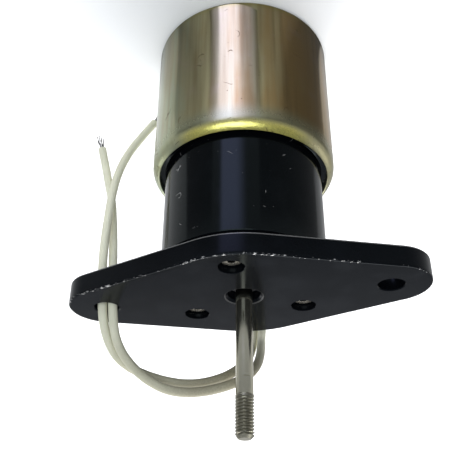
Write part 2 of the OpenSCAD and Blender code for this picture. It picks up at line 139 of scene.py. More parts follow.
class SOLENOID_PG_flange(bpy.types.PropertyGroup):
    """Sizes of the mounting flange and its screws"""

    middle_radius: length("Middle radius", "Radius of the flange's middle", FLANGE_HIGH.y)
    end_radius: length("End radius", "Radius of the flange's ends", 13.0 * MM)
    hole_radius: length("Mounting hole", "Radius of a mounting hole", 4.3 * MM)
    hole_chamfer: length("Mounting hole chamfer", "Chamfer at a mounting hole's mouth", 0.3 * MM)
    shaft_hole: length("Shaft hole", "Radius of the hole round the shaft", 5.5 * MM)
    shaft_chamfer: length("Shaft hole chamfer", "Chamfer at that hole's mouth", 1.0 * MM)
    edge: length("Edge", "Rounding of the flange's edges", 0.45 * MM)
    wear: length("Wear", "Width of the worn band along the edges", 0.7 * MM)
    screw_circle: length("Screw circle", "Radius of the circle of the screws", 21.5 * MM)
    counterbore: length("Counterbore", "Radius of the counterbores", 4.2 * MM)
    counterbore_chamfer: length("Counterbore chamfer", "Chamfer at a counterbore's mouth", 0.15 * MM)
    head_radius: length("Head radius", "Radius of a screw's head", 3.5 * MM)
    head_height: length("Head height", "Height of a screw's head", 2.8 * MM)
    screw_radius: length("Screw radius", "Radius of a screw's thread", 2.0 * MM)
    socket: length("Socket", "Key size of a screw's socket", 2.5 * MM)
    socket_depth: length("Socket depth", "Depth of that socket", 1.6 * MM)


class SOLENOID_PG_shaft(bpy.types.PropertyGroup):
    """Sizes of the shaft and its thread"""

    radius: length("Radius", "Radius of the plain shaft", 2.8 * MM)
    edge: length("Edge", "Chamfer at the inner end", 0.25 * MM)
    thread_radius: length("Thread radius", "Major radius of the thread", SHAFT_HIGH.x)
    thread_length: length("Thread length", "Length of the thread", 13.4 * MM)
    pitch: length("Pitch", "Pitch of the thread", 1.0 * MM)
    thread_depth: length("Thread depth", "Depth of the thread", 0.54 * MM)
    tip_chamfer: length("Tip chamfer", "Chamfer at the tip", 1.0 * MM)
    flat_size: length("Flats", "Size across the spanner flats", 5.0 * MM)
    flat_length: length("Flat length", "Length of the flats", 4.0 * MM)
    flat_gap: length("Flat gap", "Distance from the flats to the thread", 1.5 * MM)
    flat_turn: bpy.props.FloatProperty(
        name="Flat turn", description="Turn of the flats from the flange's short axis",
        default=math.radians(-25), subtype="ANGLE")


class SOLENOID_PG_leads(bpy.types.PropertyGroup):
    """Sizes of the leads, their strands and the spring's wire"""

    diameter: length("Diameter", "Diameter over a lead's insulation", 3.2 * MM)
    pitch: length("Pitch", "Spacing of the leads in the grommet", 3.8 * MM)
    strand_radius: length("Strand radius", "Radius of one bare strand", 0.17 * MM)
    strand_length: length("Strand length", "Length of the bare strands", 6.0 * MM)
    spring_wire: length("Spring wire", "Radius of the return spring's wire", 0.5 * MM)
    strands: bpy.props.IntProperty(
        name="Strands", description="Number of strands at a bare end", default=9, min=3, max=19)
    spring_turns: bpy.props.IntProperty(
        name="Spring turns", description="Number of turns of the return spring", default=10, min=4, max=20)


class SOLENOID_PG_rubber(bpy.types.PropertyGroup):
    """Sizes of the lead grommet and the shaft seal"""

    plug_radius: length("Plug radius", "Radius of the grommet inside the body", 4.4 * MM)
    collar_height: length("Collar height", "Height of the grommet's collar", 2.0 * MM)
    nose_height: length("Nose height", "Height of collar and nose over the body's flat", 4.0 * MM)
    nose_root: length("Nose root", "Radius of the nose at the collar", 4.45 * MM)
    nose_tip: length("Nose tip", "Radius of the nose at its end", 4.1 * MM)
    seal_gap: length("Seal gap", "Gap between the seal's lip and the shaft", 0.03 * MM)
    seal_rim: length("Seal rim", "Width of the seal's outer rim", 0.9 * MM)
    groove_slope: length("Groove slope", "Width of the slope from that rim into the groove", 0.4 * MM)
    groove_depth: length("Groove depth", "Depth of the groove in the seal's face", 0.9 * MM)
    lip_drop: length("Lip drop", "How far the lip lies below the rim", 0.2 * MM)


class SOLENOID_PG_finish(bpy.types.PropertyGroup):
    """Colours of the finishes"""

    olive: colour("Zinc olive", "Main tone of the chromate plating", (0.41, 0.375, 0.215))
    green: colour("Zinc green", "Greenish tone of the plating", (0.35, 0.39, 0.26))
    brown: colour("Zinc brown", "Brown tone of the plating", (0.355, 0.265, 0.125))
    # Colour of the painted shade on one side of the can's front
    russet_shade: colour("Zinc russet", "Deepest tone of the plating", (0.45, 0.285, 0.105))
    pink: colour("Zinc pink", "Pinkish tone of the plating", (0.43, 0.345, 0.27))
    # Also the colour of the painted highlight and glints on the rim's bend
    gold: colour("Rim gold", "Gold tone on the rolled rim", (0.50, 0.455, 0.105))
    # Also the colour of the painted shade in the screws' sockets
    black: colour("Black anodise", "Dyed anodise of body and flange", (0.0013, 0.0016, 0.0022))
    # Also the colour of the painted highlights on the flange's lower edge and round its shaft hole
    bare: colour("Bare aluminium", "Metal where the anodise is chipped off", (0.62, 0.61, 0.59))
    steel: colour("Polished steel", "Ground and polished shaft", (0.48, 0.465, 0.37))
    grease: colour("Thread film", "Oily film in the thread", (0.20, 0.19, 0.145))
    screw: colour("Screw zinc", "Bright zinc of the screws", (0.40, 0.375, 0.32))
    lead: colour("Lead cream", "Insulation of the leads", (0.62, 0.61, 0.475))
    # Also the colour of the painted shade on the leads' loop
    grime_and_shade: colour("Lead grime", "Handling marks on the leads", (0.125, 0.105, 0.055))
    strand: colour("Strand", "Tinned and tarnished strands", (0.26, 0.25, 0.235))
    rubber: colour("Rubber", "Grommet, seal and bumper", (0.014, 0.014, 0.015))
    iron: colour("Iron", "Machined iron of poles and plunger", (0.24, 0.24, 0.25))
    brass: colour("Brass", "Guide tube and shim", (0.62, 0.44, 0.15))
    bronze: colour("Bronze", "Sintered bush", (0.40, 0.24, 0.10))
    nylon: colour("Nylon", "Moulded bobbin", (0.62, 0.58, 0.45))
    enamel: colour("Enamel", "Enamelled winding wire", (0.45, 0.16, 0.06))
    dark_enamel: colour("Dark enamel", "Darker blotches of that enamel", (0.33, 0.10, 0.035))
    tape: colour("Tape", "Tape round the winding", (0.52, 0.40, 0.05))
    sleeve: colour("Sleeve", "Crimp sleeves of the leads", (0.20, 0.03, 0.025))
    floor: colour("Floor", "Pale floor", (0.80, 0.80, 0.80))
    # Colour of the painted reflections of the card that only gloss shows
    card: colour("Card", "Grey card in front of the part", (0.28, 0.28, 0.28))
    window: colour("Window", "Light of the low window", (0.58, 0.57, 1.0))
    haze: colour("Haze", "Light of the room at the horizon", (0.70, 0.70, 0.70))
    sky: colour("Sky", "Light of the room from above", (0.36, 0.38, 0.42))


class Wire:
    """An output socket of a node tree. Arithmetic on it adds Math nodes."""

    def __init__(self, nodes, socket):
        self.nodes = nodes
        self.socket = socket

    def maths(self, operation, *others):
        """A Math node on this value and then the others."""
        return self.nodes.maths(operation, self, *others)

    def __add__(self, other):
        return self.maths("ADD", other)

    def __sub__(self, other):
        return self.maths("SUBTRACT", other)

    def __rsub__(self, other):
        return self.nodes.maths("SUBTRACT", other, self)

    def __mul__(self, other):
        return self.maths("MULTIPLY", other)

    def __truediv__(self, other):
        return self.maths("DIVIDE", other)

    def __pow__(self, other):
        return self.maths("POWER", other)

    __radd__ = __add__
    __rmul__ = __mul__

    def rise(self, low, high):
        """0 below low, 1 above high and smooth between them. It falls where low is above high."""
        if low > high:
            return 1 - self.rise(high, low)
        return self.nodes.node(
            "ShaderNodeMapRange", {"interpolation_type": "SMOOTHSTEP"},
            {"Value": self, "From Min": low, "From Max": high})

    def mix(self, first, second):
        """The first colour where this value is 0, the second where it is 1."""
        return self.nodes.node(
            "ShaderNodeMix", {"data_type": "RGBA"}, {0: self, 6: first, 7: second}, output=2)

    def ramp(self, *stops):
        """Colours along this value, each stop a place and a colour."""
        return self.nodes.node("ShaderNodeValToRGB", {"stops": stops}, {"Fac": self})


class Nodes:
    """A node tree, and the one way of adding nodes to it."""

    def __init__(self, tree):
        self.tree = tree

    def node(self, kind, settings=None, sockets=None, output=0):
        """A node of that kind with its settings, then the values or links of its sockets."""
        made = self.tree.nodes.new(kind)
        for key, value in (settings or {}).items():
            if key == "stops":
                self.set_stops(made.color_ramp, value)
            else:
                setattr(made, key, value)
        for key, value in (sockets or {}).items():
            self.feed(made.inputs[key], value)
        return Wire(self, made.outputs[output])

    def maths(self, operation, *values):
        """A Math node on those values."""
        return self.node("ShaderNodeMath", {"operation": operation}, dict(enumerate(values)))

    def set_stops(self, ramp, stops):
        """Gives a colour ramp its stops, each a place and a colour."""
        while len(ramp.elements) < len(stops):
            ramp.elements.new(1.0)
        for element, (place, shade) in zip(ramp.elements, stops):
            element.position = place
            element.color = shade

    def feed(self, socket, value):
        """Links a socket to a wire, or sets its value."""
        if isinstance(value, Wire):
            self.tree.links.new(value.socket, socket)
        else:
            socket.default_value = value


class Finish(Nodes):
    """A surface material in the making, with its patterns on Object coordinates."""

    def __init__(self, name):
        self.material = bpy.data.materials.new(name)
        self.material.use_nodes = True
        super().__init__(self.material.node_tree)
        self.shader = self.tree.nodes["Principled BSDF"]
        self.place = self.node("ShaderNodeTexCoord", output="Object")

    def axis(self, letter):
        """One coordinate of the place on the piece, in metres."""
        return self.node("ShaderNodeSeparateXYZ", None, {"Vector": self.place}, output=letter)

    def stretched(self, *scale):
        """The place on the piece, with its axes scaled."""
        return self.node("ShaderNodeMapping", None, {"Vector": self.place, "Scale": scale})

    def noise(self, size, detail=2.0, vector=None, roughness=0.5):
        """Soft noise from 0 to 1 whose blotches are about that size."""
        return self.node(
            "ShaderNodeTexNoise", None,
            {"Vector": vector or self.place, "Scale": 1 / size, "Detail": detail, "Roughness": roughness})

    def specks(self, size, share):
        """1 in a few round specks, spaced about that size and covering that share of it."""
        spot = self.node("ShaderNodeTexVoronoi", None, {"Vector": self.place, "Scale": 1 / size})
        return spot.rise(share, 0.6 * share)

    def hairs(self, size, gap):
        """1 on a few thin wavy scratches, in patches about that gap apart."""
        level = self.noise(size, 1) - 0.5
        return level.maths("ABSOLUTE").rise(0.012, 0.004) * self.noise(gap, 1).rise(0.66, 0.70)

    def attribute(self, name):
        """A value painted on the piece's own points."""
        return self.node("ShaderNodeAttribute", {"attribute_name": name}, output="Fac")

    def bump(self, height, depth):
        """A normal from a height of 0 to 1, as deep as that."""
        return self.node("ShaderNodeBump", None, {"Height": height, "Distance": depth, "Strength": 1.0})

    def surface(self, base, roughness, metallic=0.0, normal=None, **constants):
        """Sets the shader and gives the material."""
        sockets = self.shader.inputs
        self.feed(sockets["Base Color"], base)
        self.feed(sockets["Roughness"], roughness)
        self.feed(sockets["Metallic"], metallic)
        if normal:
            self.feed(sockets["Normal"], normal)
        for key, value in constants.items():
            sockets[key.replace("_", " ")].default_value = value
        return self.material


def rgba(shade, level=1.0):
    """A sidebar colour with its alpha, lighter or darker by a level."""
    return (*(min(1.0, level * part) for part in shade), 1.0)


def zinc_finish(tone):
    """Yellow chromate zinc in streaks from green to brown, browner on one side partly as painted shade,
    with painted shade in a deep tone on that side of the front, gold at the closed end, and a painted gold
    highlight on the coarser rim.
    """
    finish = Finish("zinc_yellow")
    across = finish.axis("X") / (2 * CAN_HIGH.x)
    up = finish.axis("Z")
    cloud = finish.noise(26 * MM, 3)
    streak = finish.noise(6 * MM, 3, finish.stretched(1, 1, 0.06))
    # The tone turns from green to brown across the can: partly the plating's own tone, partly painted shade
    # on the browner side
    film = 0.5 - 0.95 * across + 0.6 * (cloud - 0.5) + 1.1 * (streak - 0.5)
    plate = film.ramp(
        (0.05, rgba(tone.green)), (0.27, rgba(tone.olive, 0.9)), (0.5, rgba(tone.olive)),
        (0.74, rgba(tone.brown)))
    # Painted shade in a deep tone on one side of the front, and thin stripes and a pink sheen all round
    deep = across.rise(-0.16, -0.38) * finish.axis("Y").rise(10 * MM, -6 * MM)
    plate = (0.5 * deep).mix(plate, rgba(tone.russet_shade))
    stripe = finish.noise(2.2 * MM, 3, finish.stretched(1, 1, 0.03)).rise(0.42, 0.72)
    plate = (0.45 * stripe).mix(plate, rgba(tone.brown, 0.55))
    sheen = finish.noise(7 * MM, 2).rise(0.55, 0.8)
    plate = (0.25 * sheen).mix(plate, rgba(tone.pink))
    # Along the can: gold at the closed end, greener towards the rim, and a painted gold highlight with
    # painted glints on the front and back of its bend
    closed = up.rise(CAN_LOW.z + 4 * MM, CAN_LOW.z + 0.5 * MM)
    plate = (0.5 * closed).mix(plate, rgba(tone.gold, 0.6))
    skirt = up.rise(CAN_HIGH.z - 11.4 * MM, CAN_HIGH.z - 4.4 * MM)
    plate = (0.6 * skirt).mix(plate, rgba(tone.green))
    rim = up.rise(CAN_HIGH.z - 4.1 * MM, CAN_HIGH.z - 1.2 * MM)
    aside = across + 0.07
    painted_rim_highlight = 0.85 * rim * (aside * aside).rise(0.13, 0.05)
    grain = finish.noise(0.4 * MM, 2)
    plate = painted_rim_highlight.mix(plate, (0.35 + 0.75 * grain).ramp(
        (0.3, rgba(tone.gold, 0.6)), (0.65, rgba(tone.gold)), (0.95, rgba(tone.gold, 1.5))))
    marks = finish.specks(5.5 * MM, 0.05)
    hair = finish.hairs(8 * MM, 5 * MM)
    plate = (0.75 * marks + 0.8 * hair).mix(plate, rgba(tone.brown, 0.3))
    drawn = finish.noise(0.8 * MM, 2, finish.stretched(1, 1, 0.05))
    rough = 0.10 + 0.08 * drawn + 0.15 * skirt + 0.2 * marks + 0.2 * hair
    height = 0.35 * drawn + grain * (0.2 + 6 * rim) + 14 * rim * finish.noise(1.0 * MM, 2)
    return finish.surface(plate, rough, 1.0, finish.bump(height, 0.006 * MM))


def anodise_finish(tone):
    """Semi-gloss black anodise on the turned body, with fine tool lines and handling marks."""
    finish = Finish("black_anodise")
    lines = finish.noise(0.5 * MM, 2, finish.stretched(0.02, 0.02, 1))
    smear = finish.noise(11 * MM, 3).rise(0.45, 0.75)
    dust = finish.specks(3.2 * MM, 0.05)
    base = (0.5 * smear).mix(rgba(tone.black), rgba(tone.black, 1.6))
    base = (0.08 * dust + 0.2 * finish.hairs(7 * MM, 6 * MM)).mix(base, rgba(tone.bare))
    rough = 0.10 + 0.05 * lines + 0.08 * smear
    return finish.surface(
        base, rough, 0.0, finish.bump(lines, 0.002 * MM), Specular_IOR_Level=0.16,
        Specular_Tint=(0.80, 1.0, 0.97, 1.0))


def flange_finish(tone, mouth):
    """Black anodise with a faint lay, chipped along the edges, with painted highlights of bare metal round
    the mouth of the shaft's hole and along the lower edge.
    """
    finish = Finish("black_flange")
    x, y, up = (finish.axis(letter) for letter in "XYZ")
    from_shaft = (x * x + y * y) ** 0.5
    edge = finish.attribute("edge")
    lay = finish.noise(0.6 * MM, 2, finish.stretched(0.12, 1, 1))
    smear = finish.noise(9 * MM, 3).rise(0.4, 0.75)
    weight_by_place = x.rise(FLANGE_LOW.x - 9 * MM, FLANGE_HIGH.x - 11 * MM)
    cluster = finish.noise(9 * MM, 2)
    flake = finish.noise(0.6 * MM, 4, finish.stretched(0.4, 1, 1), 0.65)
    chips_and_highlights = (flake + 0.45 * edge ** 3 + 0.05 * weight_by_place + 0.3 * (cluster - 0.5)).rise(1.04, 1.14)
    # Painted highlight: a faint ring of bare metal at the mouth of the shaft's hole
    ring = from_shaft.rise(mouth - 0.35 * MM, mouth - 0.2 * MM) * from_shaft.rise(mouth + 0.1 * MM, mouth)
    chips_and_highlights = chips_and_highlights.maths("MAXIMUM", 0.13 * ring)
    # Painted highlight: a band of bare metal along the lower rounded edge
    under = up.rise(FLANGE_LOW.z + 1.0 * MM, FLANGE_LOW.z + 0.4 * MM) * edge.rise(0.4, 0.6)
    chips_and_highlights = chips_and_highlights.maths("MAXIMUM", 0.25 * under)
    dust = finish.specks(4.1 * MM, 0.05)
    base = (0.4 * smear + 0.5 * dust).mix(rgba(tone.black, 1.25), rgba(tone.black, 2.8))
    base = chips_and_highlights.mix(base, rgba(tone.bare, 0.75))
    rough = 0.14 + 0.06 * lay + 0.06 * smear + 0.4 * chips_and_highlights
    height = 0.4 * lay + 0.6 * (1 - chips_and_highlights)
    return finish.surface(
        base, rough, chips_and_highlights, finish.bump(height, 0.004 * MM), Specular_IOR_Level=0.08,
        Specular_Tint=(0.8, 0.92, 1.0, 1.0))


def shaft_finish(tone, thread_start):
    """Ground and polished steel, with an oily film in the thread."""
    finish = Finish("polished_steel")
    thread = finish.axis("Z").rise(thread_start - 0.2 * MM, thread_start + 0.4 * MM)
    ground = finish.noise(0.25 * MM, 2, finish.stretched(0.05, 0.05, 1))
    film = finish.noise(3 * MM, 3)
    base = film.mix(rgba(tone.steel), rgba(tone.steel, 0.85))
    base = (thread * (0.5 + 0.5 * film)).mix(base, rgba(tone.grease))
    rough = 0.15 + 0.06 * ground + 0.15 * thread
    return finish.surface(base, rough, 1.0, finish.bump(ground, 0.001 * MM))


def screw_finish(tone):
    """Bright zinc on the heads, with painted shade in the sockets and on every face below the heads' tops.
    """
    finish = Finish("screw_steel")
    # Painted shade: black on all that lies deeper than the top of the head, down the sockets, the heads'
    # sides and the shanks
    depth = finish.axis("Z").rise(SCREW_HIGH.z - 0.25 * MM, SCREW_HIGH.z - 0.9 * MM)
    film = finish.noise(1.2 * MM, 3)
    base = film.mix(rgba(tone.screw), rgba(tone.screw, 0.7))
    base = (0.9 * depth).mix(base, rgba(tone.black))
    return finish.surface(base, 0.2 + 0.15 * film, 1.0, finish.bump(film, 0.01 * MM))


def lead_finish(tone):
    """Matt cream insulation with dirty patches, and painted shade on the loop in front of the flange,
    darkest by the shaft.
    """
    finish = Finish("lead_insulation")
    patch = finish.noise(14 * MM, 4, roughness=0.6).rise(0.42, 0.72)
    fibre = finish.noise(0.45 * MM, 2)
    # Painted shade: the loop is darkened, most where it passes behind the shaft
    loop = finish.axis("Z").rise(FLANGE_HIGH.z + 1.7 * MM, FLANGE_HIGH.z + 21.7 * MM)
    painted_shade_by_shaft = finish.axis("X").rise(42 * MM, 14 * MM)
    weight_by_place = loop * (0.45 + 0.47 * painted_shade_by_shaft)
    base = (0.15 * patch + weight_by_place).mix(rgba(tone.lead), rgba(tone.grime_and_shade))
    base = (0.25 * fibre).mix(base, rgba(tone.lead, 1.25))
    return finish.surface(
        base, 0.5 + 0.15 * fibre, 0.0, finish.bump(fibre, 0.04 * MM), Specular_IOR_Level=0.35)


def mottled(name, shade, levels, size, detail, gloss, metallic, depth=None):
    """A finish in two levels of one colour, whose soft blotches also vary the gloss and the height."""
    finish = Finish(name)
    blotch = finish.noise(size, detail)
    base = blotch.mix(*(rgba(shade, level) for level in levels))
    normal = finish.bump(blotch, depth) if depth else None
    return finish.surface(base, gloss[0] + gloss[1] * blotch, metallic, normal)


def strand_finish(tone):
    """Tinned strands, tarnished in patches."""
    return mottled("tinned_copper", tone.strand, (1.4, 0.5), 0.9 * MM, 3, (0.3, 0.25), 0.9)


def rubber_finish(tone):
    """Moulded black rubber with a dusty bloom."""
    return mottled("black_rubber", tone.rubber, (1.0, 2.2), 2.5 * MM, 4, (0.5, 0.2), 0.0, 0.03 * MM)


def spring_finish(tone):
    """Drawn spring wire."""
    return mottled("spring_steel", tone.steel, (0.75, 0.5), 0.7 * MM, 3, (0.25, 0.15), 1.0)


def hidden_plastic(name, shade, gloss):
    """Moulded plastic, tape or sleeve of an inner part."""
    return mottled(name, shade, (1.0, 0.85), 1.5 * MM, 3, (gloss, 0.1), 0.0, 0.02 * MM)


def hidden_metal(name, shade, lines):
    """Machined metal of an inner part, with tool lines round its axis."""
    finish = Finish(name)
    tool = finish.noise(lines, 2, finish.stretched(0.05, 0.05, 1))
    stain = finish.noise(6 * MM, 3)
    base = stain.mix(rgba(shade), rgba(shade, 0.75))
    return finish.surface(base, 0.28 + 0.15 * tool, 1.0, finish.bump(tool, 0.01 * MM))


def winding_finish(tone):
    """Enamelled copper wire laid in rows."""
    finish = Finish("copper")
    row_pitch = 0.7 * MM
    rows = 0.5 + 0.5 * (finish.axis("Z") * (math.tau / row_pitch)).maths("SINE")
    blotch = finish.noise(5 * MM, 2)
    base = blotch.mix(rgba(tone.enamel), rgba(tone.dark_enamel))
    return finish.surface(base, 0.25 + 0.1 * blotch, 1.0, finish.bump(rows, 0.15 * MM))


def deselect():
    """Back to object mode with nothing selected."""
    if bpy.context.mode != "OBJECT":
        bpy.ops.object.mode_set(mode="OBJECT")
    bpy.ops.object.select_all(action="DESELECT")


def activate(piece):
    """Selects one object alone and makes it the active one."""
    deselect()
    piece.select_set(True)
    bpy.context.view_layer.objects.active = piece


def new_primitive(name, add, **sizes):
    """Adds one primitive with nothing else selected."""
    deselect()
    add(**sizes)
    piece = bpy.context.object
    piece.name = name
    return piece


def new_rod(name, vertices, radius, depth, **place):
    """Adds a round bar."""
    return new_primitive(
        name, bpy.ops.mesh.primitive_cylinder_add, vertices=vertices, radius=radius, depth=depth, **place)


def apply_place(piece):
    """Moves an object's place, turn and scale into its mesh."""
    activate(piece)
    bpy.ops.object.transform_apply(location=True, rotation=True, scale=True)


def soften(corners, steps=5):
    """A profile's points, with each corner (radius, height, fillet) rounded by its fillet."""
    points = []
    for index, (r, z, fillet) in enumerate(corners):
        if not fillet:
            points.append((r, z))
            continue
        corner = Vector((r, z))
        before = Vector(corners[index - 1][:2]) - corner
        after = Vector(corners[(index + 1) % len(corners)][:2]) - corner
        half = before.angle(after) / 2
        centre = corner + (before.normalized() + after.normalized()).normalized() * fillet / math.sin(half)
        start = corner + before.normalized() * fillet / math.tan(half) - centre
        end = corner + after.normalized() * fillet / math.tan(half) - centre
        sweep = start.angle_signed(end)
        for step in range(steps + 1):
            turn = -sweep * step / steps
            points.append((
                centre.x + start.x * math.cos(turn) - start.y * math.sin(turn),
                centre.y + start.x * math.sin(turn) + start.y * math.cos(turn)))
    return points


def arc(centre, radius, start, end, steps=12):
    """Points of a profile round a centre, from one angle to another."""
    turns = [start + (end - start) * step / steps for step in range(steps + 1)]
    return [(centre[0] + radius * math.cos(turn), centre[1] + radius * math.sin(turn)) for turn in turns]


def rim_bend(sizes):
    """Centre of the bend of the can's rim in profile, and how far the lip lies outside it."""
    over = sizes.rim_radius - sizes.rim_lap
    drop = math.sqrt(sizes.rim_radius ** 2 - over ** 2)
    return (sizes.radius - sizes.rim_radius, sizes.height - drop), over


def screw_places(sizes):
    """Places of the three flange screws round the shaft."""
    for degrees in (-90, 30, 150):
        angle = math.radians(degrees)
        yield sizes.screw_circle * math.cos(angle), sizes.screw_circle * math.sin(angle)


def turned(name, profile, steps):
    """A turned piece: a point is extruded along the profile, and the line is spun round the Z axis."""
    piece = new_primitive(name, bpy.ops.mesh.primitive_plane_add, size=MM)
    bpy.ops.object.mode_set(mode="EDIT")
    bpy.ops.mesh.merge(type="CENTER")
    bpy.ops.transform.translate(value=(profile[0][0], 0, profile[0][1]))
    for (r0, z0), (r1, z1) in zip(profile, profile[1:]):
        bpy.ops.mesh.extrude_vertices_move(TRANSFORM_OT_translate={"value": (r1 - r0, 0, z1 - z0)})
    bpy.ops.mesh.select_all(action="SELECT")
    bpy.ops.mesh.spin(steps=steps, angle=math.tau, center=(0, 0, 0), axis=(0, 0, 1))
    bpy.ops.mesh.select_all(action="SELECT")
    bpy.ops.mesh.remove_doubles(threshold=MERGE_GAP)
    bpy.ops.mesh.normals_make_consistent(inside=False)
    bpy.ops.object.mode_set(mode="OBJECT")
    return piece


def select_flats(piece, level=0.999):
    """Goes to edit mode with the level faces selected."""
    bpy.ops.object.mode_set(mode="OBJECT")
    bpy.context.tool_settings.mesh_select_mode = (False, False, True)
    for item in (*piece.data.vertices, *piece.data.edges):
        item.select = False
    for face in piece.data.polygons:
        face.select = abs(face.normal.z) > level
    bpy.ops.object.mode_set(mode="EDIT")


def cut(piece, *cutters):
    """Cuts the cutters out of a piece and removes them."""
    for cutter in cutters:
        modifier = piece.modifiers.new("cut", "BOOLEAN")
        modifier.object = cutter
        modifier.operation = "DIFFERENCE"
        modifier.solver = "EXACT"
        activate(piece)
        bpy.ops.object.modifier_apply(modifier=modifier.name)
        bpy.data.objects.remove(cutter)


def join(first, *others):
    """Joins objects into the first one."""
    activate(first)
    for other in others:
        other.select_set(True)
    bpy.ops.object.join()
    return first


def smooth(piece, degrees=30):
    """Smooth shading that keeps the edges sharper than that."""
    activate(piece)
    bpy.ops.object.shade_smooth_by_angle(angle=math.radians(degrees))


def even_normals(piece):
    """Keeps the large faces flat beside their rounded edges."""
    modifier = piece.modifiers.new("even", "WEIGHTED_NORMAL")
    modifier.keep_sharp = True
    modifier.weight = 80
    activate(piece)
    bpy.ops.object.modifier_apply(modifier=modifier.name)


def copy_of(piece, name):
    """A copy with its own mesh."""
    made = piece.copy()
    made.data = piece.data.copy()
    made.name = name
    bpy.context.collection.objects.link(made)
    return made


def settle(piece, material, body, slot, *nodes):
    """Gives a finished piece its material and its body, and hides the CAD nodes that it stands for. The
    slot is not used.
    """
    piece.data.materials.clear()
    piece.data.materials.append(material)
    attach(piece, body)
    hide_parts(*nodes)


def wire_curve(name, lines, radius, sides=5, steps=5):
    """Round wires along lines of points in metres, as one curve."""
    curve = bpy.data.curves.new(name, "CURVE")
    curve.dimensions = "3D"
    curve.bevel_depth = radius
    curve.bevel_resolution = sides
    curve.resolution_u = steps
    curve.use_fill_caps = True
    for line in lines:
        spline = curve.splines.new("BEZIER")
        spline.bezier_points.add(len(line) - 1)
        for point, place in zip(spline.bezier_points, line):
            point.co = place
            point.handle_left_type = "AUTO"
            point.handle_right_type = "AUTO"
    piece = bpy.data.objects.new(name, curve)
    bpy.context.collection.objects.link(piece)
    return piece


def wire_mesh(name, lines, radius, sides, steps):
    """Round wires along lines of points in metres, as one mesh."""
    piece = wire_curve(name, lines, radius, sides, steps)
    activate(piece)
    bpy.ops.object.convert(target="MESH")
    smooth(piece, 60)
    return piece


